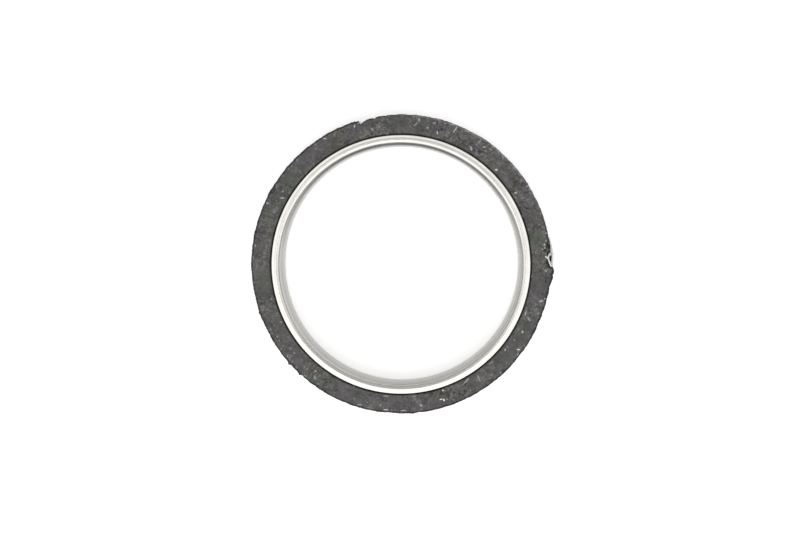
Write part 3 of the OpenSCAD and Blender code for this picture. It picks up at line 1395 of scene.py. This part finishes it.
@dataclass
class SprungLoop:
    """The loop of wire that has sprung out of the broken rim, drawn point by point."""

    sizes: GasketSizes
    wire_mm: float = 0.33
    gleam: float = 0.95
    loop: tuple[tuple[float, float, float], ...] = (
        (23.14, 4.45, -0.60),
        (23.34, 3.75, -0.38),
        (23.49, 3.05, -0.30),
        (23.62, 2.35, -0.28),
        (23.75, 1.75, -0.26),
        (23.74, 1.20, -0.25),
        (23.67, 0.75, -0.24),
        (23.65, 0.35, -0.22),
        (23.68, 0.02, -0.18),
        (23.57, -0.10, -0.14),
        (23.43, 0.12, -0.10),
        (23.33, 0.42, -0.07),
        (23.20, 0.68, -0.04),
        (23.08, 1.02, -0.03),
        (23.03, 1.34, -0.02),
        (23.14, 1.64, -0.02),
        (23.32, 1.90, -0.05),
        (23.50, 2.12, -0.12),
    )
    spur: tuple[tuple[float, float, float], ...] = (
        (22.98, 1.20, -0.04),
        (22.82, 1.34, -0.01),
        (22.62, 1.46, -0.06),
    )

    def draw(self, points: Sequence[tuple[float, float, float]]) -> Piece:
        """Extrudes a vertex from point to point and gives the line a round section.

        Args:
            points: places in mm, the third being the height over the upper face.

        Returns:
            The wire as a mesh.
        """
        Workshop.chain([Vector((x, y, self.sizes.high / MM + z)) * MM for x, y, z in points])
        bpy.ops.object.mode_set(mode="OBJECT")
        bpy.ops.object.convert(target="CURVE")
        line_data = bpy.context.active_object.data
        Workshop.clear_selection()
        piece = next(ob for ob in bpy.context.scene.objects if ob.data is line_data)
        Workshop.take_up(piece)
        bpy.ops.object.mode_set(mode="EDIT")
        bpy.ops.curve.select_all(action="SELECT")
        bpy.ops.curve.spline_type_set(type="NURBS")
        bpy.ops.object.mode_set(mode="OBJECT")
        spline = piece.data.splines[0]
        spline.order_u = 3
        spline.use_endpoint_u = True
        spline.resolution_u = 6
        piece.data.bevel_depth = self.wire_mm / 2 * MM
        piece.data.bevel_resolution = 4
        piece.data.use_fill_caps = True
        bpy.ops.object.convert(target="MESH")
        return bpy.context.active_object

    def dress(self, material: bpy.types.Material) -> Piece:
        """Draws the loop and its spur and puts them in the CAD loop's place.

        Args:
            material: the wire's material.

        Returns:
            The joined piece.
        """
        joined = Workshop.join([self.draw(line) for line in (self.loop, self.spur)], "sprung_loop")
        Workshop.paint(joined, GLEAM, lambda co: self.gleam)
        Workshop.take_up(joined)
        bpy.ops.object.shade_smooth()
        joined.data.materials.append(material)
        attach(joined, "root")
        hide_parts("sprung_wire")
        return joined


@dataclass
class Studio:
    """The floor, the lights and the camera."""

    sizes: GasketSizes
    camera_height: float = 105.65 * MM
    camera_side: tuple[float, float] = (3.2 * MM, 5.2 * MM)
    focal_px: float = 675.0
    ring_centre_px: tuple[float, float] = (400.2, 265.6)
    floor_size: float = 4.0
    floor_white: tuple = (0.93, 0.93, 0.93, 1)
    lift_near: float = 0.33
    lift_far: float = 0.45
    room_r: float = 1.2
    ambient: float = 0.69
    sky: float = 0.56
    near_horizon: float = 0.04
    far_horizon: float = 0.56
    lens_size: tuple[float, float] = (20.0 * MM, 14.0 * MM)
    lens_light: float = 0.22
    reach_near: float = 0.05
    reach_far: float = 0.35
    lamp_place: tuple[float, float, float] = (-0.01, -0.205, 0.455)
    lamp_size: tuple[float, float] = (0.95, 0.95)
    lamp_power: float = 2.87
    lamp_fall: tuple = (0.40, 0.75, 0.12, 0.62)
    lamp_far: float = 0.64
    lamp_far_level: float = 0.45
    sensor_mm: float = 36.0
    sight: tuple[float, float] = (0.005, 20.0)

    def add_floor(self) -> Piece:
        """Lays the white floor under the gasket. It keeps the shadow and looks white from anywhere.

        Returns:
            The floor.
        """
        Workshop.clear_selection()
        bpy.ops.mesh.primitive_grid_add(
            x_subdivisions=8, y_subdivisions=8, size=self.floor_size, location=(0, 0, self.sizes.low)
        )
        floor = bpy.context.active_object
        floor.name = "floor"
        sheet = MaterialSheet("white floor")
        reach = sheet.vector("LENGTH", sheet.add("ShaderNodeTexCoord").outputs["Object"]).outputs["Value"]
        lift = sheet.spread(reach, self.reach_near, self.reach_far, self.lift_near, self.lift_far)
        lift = sheet.times(self.seen_by_eye_or_metal(sheet), lift)
        both = sheet.add("ShaderNodeAddShader")
        sheet.feed(sheet.add("ShaderNodeBsdfDiffuse", Color_=self.floor_white).outputs[0], both.inputs[0])
        sheet.feed(sheet.glow(lift), both.inputs[1])
        sheet.send(both.outputs[0])
        floor.data.materials.append(sheet.material)
        return floor

    @staticmethod
    def seen_by_eye_or_metal(sheet: NodeSheet) -> bpy.types.NodeSocket:
        """Gives 1 to rays that come from the camera, from metal or through glass, and 0 to the others.

        Args:
            sheet: the sheet to add the nodes to.

        Returns:
            The 1 or 0.
        """
        path = sheet.add("ShaderNodeLightPath")
        seen = sheet.maths("MAXIMUM", path.outputs["Is Camera Ray"], path.outputs["Is Glossy Ray"])
        return sheet.maths("MAXIMUM", seen, path.outputs["Is Transmission Ray"])

    def add_world(self) -> None:
        """Makes the background white, and lights the gasket with a plain grey."""
        world = bpy.data.worlds.new("studio")
        world.use_nodes = True
        sheet = NodeSheet(world.node_tree)
        strength = sheet.spread(self.seen_by_eye_or_metal(sheet), 0.0, 1.0, self.ambient, 1.0)
        back = sheet.add("ShaderNodeBackground", Color_=WHITE, Strength_=strength)
        sheet.send(back.outputs[0], "ShaderNodeOutputWorld")
        bpy.context.scene.world = world

    def add_room(self) -> Piece:
        """Stands the grey room round the table. Only reflections show it, as they do in the photograph.

        Returns:
            The room.
        """
        Workshop.clear_selection()
        bpy.ops.mesh.primitive_uv_sphere_add(segments=96, ring_count=48, radius=self.room_r)
        room = bpy.context.active_object
        room.name = "grey_room"
        sheet = MaterialSheet("grey room")
        way = sheet.vector("NORMALIZE", sheet.add("ShaderNodeTexCoord").outputs["Object"]).outputs[0]
        parts = sheet.add("ShaderNodeSeparateXYZ", Vector_=way)
        horizon = sheet.spread(parts.outputs["Y"], -0.9, 0.5, self.near_horizon, self.far_horizon)
        rise = sheet.times(sheet.minus(self.sky, horizon), sheet.spread(parts.outputs["Z"], 0.12, 0.42))
        sheet.send(sheet.glow(sheet.plus(horizon, rise)))
        room.data.materials.append(sheet.material)
        self.hide_from_camera(room)
        return room

    @staticmethod
    def hide_from_camera(prop: Piece) -> None:
        """Leaves a prop to the reflections alone.

        Args:
            prop: the object.
        """
        prop.visible_camera = False
        prop.visible_diffuse = False
        prop.visible_shadow = False

    def add_lens(self) -> Piece:
        """Hangs the dark front of the camera over the ring. Only the metal's reflections show it.

        Returns:
            The lens.
        """
        Workshop.clear_selection()
        place = (*self.camera_side, self.sizes.high + self.camera_height)
        bpy.ops.mesh.primitive_circle_add(vertices=64, radius=1, fill_type="NGON", location=place)
        lens = bpy.context.active_object
        lens.scale = (*self.lens_size, 1)
        lens.name = "lens_front"
        bpy.ops.object.transform_apply(location=True, rotation=True, scale=True)
        sheet = MaterialSheet("lens front")
        sheet.send(sheet.glow(self.lens_light))
        lens.data.materials.append(sheet.material)
        self.hide_from_camera(lens)
        return lens

    def add_lamp(self) -> Piece:
        """Hangs the soft square lamp that faces the gasket.

        Returns:
            The lamp.
        """
        Workshop.clear_selection()
        bpy.ops.object.light_add(type="AREA", location=self.lamp_place)
        lamp = bpy.context.active_object
        lamp.name = "soft_key"
        lamp.data.shape = "RECTANGLE"
        lamp.data.size, lamp.data.size_y = self.lamp_size
        lamp.data.energy = self.lamp_power
        self.grade_lamp(lamp.data)
        lamp.rotation_mode = "QUATERNION"
        lamp.rotation_quaternion = (-Vector(self.lamp_place)).to_track_quat("-Z", "Y")
        return lamp

    def grade_lamp(self, light: bpy.types.Light) -> None:
        """Grades the lamp: full at the near side, weaker at the far side and towards the ends.

        Args:
            light: the lamp's data.
        """
        light.use_nodes = True
        sheet = NodeSheet(light.node_tree)
        across = sheet.add("ShaderNodeNewGeometry").outputs["Parametric"]
        parts = sheet.add("ShaderNodeSeparateXYZ", Vector_=across)
        off_middle = sheet.maths("ABSOLUTE", sheet.minus(parts.outputs["X"], 0.5))
        ends = sheet.spread(sheet.maths("POWER", off_middle, 2.0), 0.0, 0.25)
        fall = sheet.times(ends, sheet.spread(parts.outputs["Y"], *self.lamp_fall))
        far = sheet.maths("POWER", sheet.spread(parts.outputs["Y"], self.lamp_far, 1.0), 2.0)
        level = sheet.times(sheet.minus(1.0, fall), sheet.spread(far, 0.0, 1.0, 1.0, self.lamp_far_level))
        sheet.send(sheet.glow(level), "ShaderNodeOutputLight")

    def add_camera(self) -> Piece:
        """Sets the camera above the ring, a little up and right of its axis, as the photograph was taken.

        Returns:
            The camera.
        """
        Workshop.clear_selection()
        bpy.ops.object.camera_add()
        camera = bpy.context.active_object
        camera.data.sensor_width = self.sensor_mm
        camera.data.lens = self.focal_px * camera.data.sensor_width / IMAGE_SIZE[0]
        camera.data.clip_start, camera.data.clip_end = self.sight
        scale = self.focal_px / self.camera_height
        off_x = (IMAGE_SIZE[0] / 2 - self.ring_centre_px[0]) / scale
        off_y = (self.ring_centre_px[1] - IMAGE_SIZE[1] / 2) / scale
        aim = Vector((off_x, off_y, self.sizes.high))
        camera.location = Vector((*self.camera_side, self.sizes.high + self.camera_height))
        back = (camera.location - aim).normalized()
        right = Vector((0, 1, 0)).cross(back).normalized()
        camera.rotation_euler = Matrix((right, back.cross(right), back)).transposed().to_euler()
        bpy.context.scene.camera = camera
        return camera

    def build(self) -> None:
        """Makes the whole studio."""
        self.add_camera()
        self.add_floor()
        self.add_world()
        self.add_room()
        self.add_lens()
        self.add_lamp()
        bpy.context.scene.view_settings.view_transform = "Standard"


def main() -> None:
    """Builds the studio and the gasket, and reports each piece."""
    logging.basicConfig(level=logging.INFO, format="%(name)s: %(message)s")
    sizes = GasketSizes.from_frame()
    Studio(sizes).build()
    effects = EffectLibrary()
    wire = WireFinish().make(effects)
    pieces = [
        Sleeve(sizes).dress(effects),
        GraphiteRing(sizes).dress(effects),
        FaceWires(sizes).dress(wire),
        SprungLoop(sizes).dress(wire),
    ]
    for piece in pieces:
        LOG.info("%s: %d faces", piece.name, len(piece.data.polygons))


if __name__ == "__main__":
    main()
